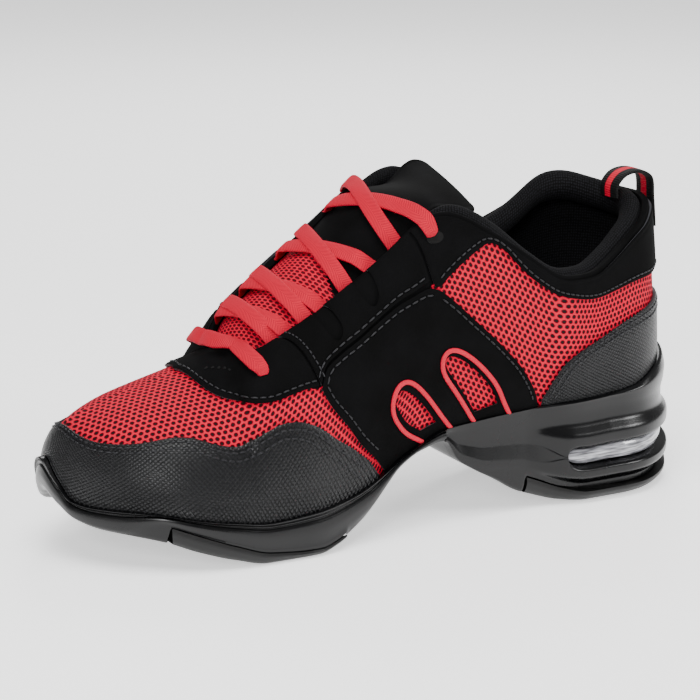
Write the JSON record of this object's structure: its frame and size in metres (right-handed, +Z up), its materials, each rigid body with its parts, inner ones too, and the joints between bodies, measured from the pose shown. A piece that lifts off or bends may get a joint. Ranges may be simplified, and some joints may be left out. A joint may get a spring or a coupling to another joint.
{
  "type": "dance sneaker",
  "caption": "Left split-sole dance sneaker with a hollow mesh upper, overlays, padded collar, crossed flat laces, cushioned heel unit and a pivot ring under the ball of the foot.",
  "frame": {"origin": "centre of the shoe's box, on the floor that it stands on", "axes": "+X towards the heel along the sole, +Y towards the inner (medial) side, +Z up"},
  "size_m": [0.2646, 0.0911, 0.1331],
  "materials": {
    "sole_rubber": "satin",
    "outsole_rubber": "matte",
    "clear_cushion": "glossy",
    "red_mesh": "open knit mesh",
    "black_leather": "smooth",
    "grained_leather": "finely embossed",
    "black_textile": "soft",
    "red_cord": "flat woven",
    "red_piping": "corded"
  },
  "bodies": {
    "root": {"midsole_heel": "sole_rubber", "midsole_forefoot": "sole_rubber", "outsole_forefoot": "outsole_rubber", "outsole_heel": "outsole_rubber", "air_cushion": "clear_cushion", "insole": "black_textile", "upper": "red_mesh", "tongue": "black_textile", "collar_roll": "black_textile", "pull_loop": "black_textile", "lace_cross_1": "red_cord", "lace_cross_2": "red_cord", "lace_cross_3": "red_cord", "lace_cross_4": "red_cord", "lace_bar": "red_cord", "toe_cap": "grained_leather", "throat_stay": "black_leather", "collar_band": "black_leather", "heel_counter": "grained_leather", "eyestay_lateral": "black_leather", "eyestay_medial": "black_leather", "side_panel_lateral": "black_leather", "side_panel_medial": "black_leather", "piping_lateral_a": "red_piping", "piping_lateral_b": "red_piping", "piping_medial_a": "red_piping", "piping_medial_b": "red_piping"}
  },
  "joints": []
}
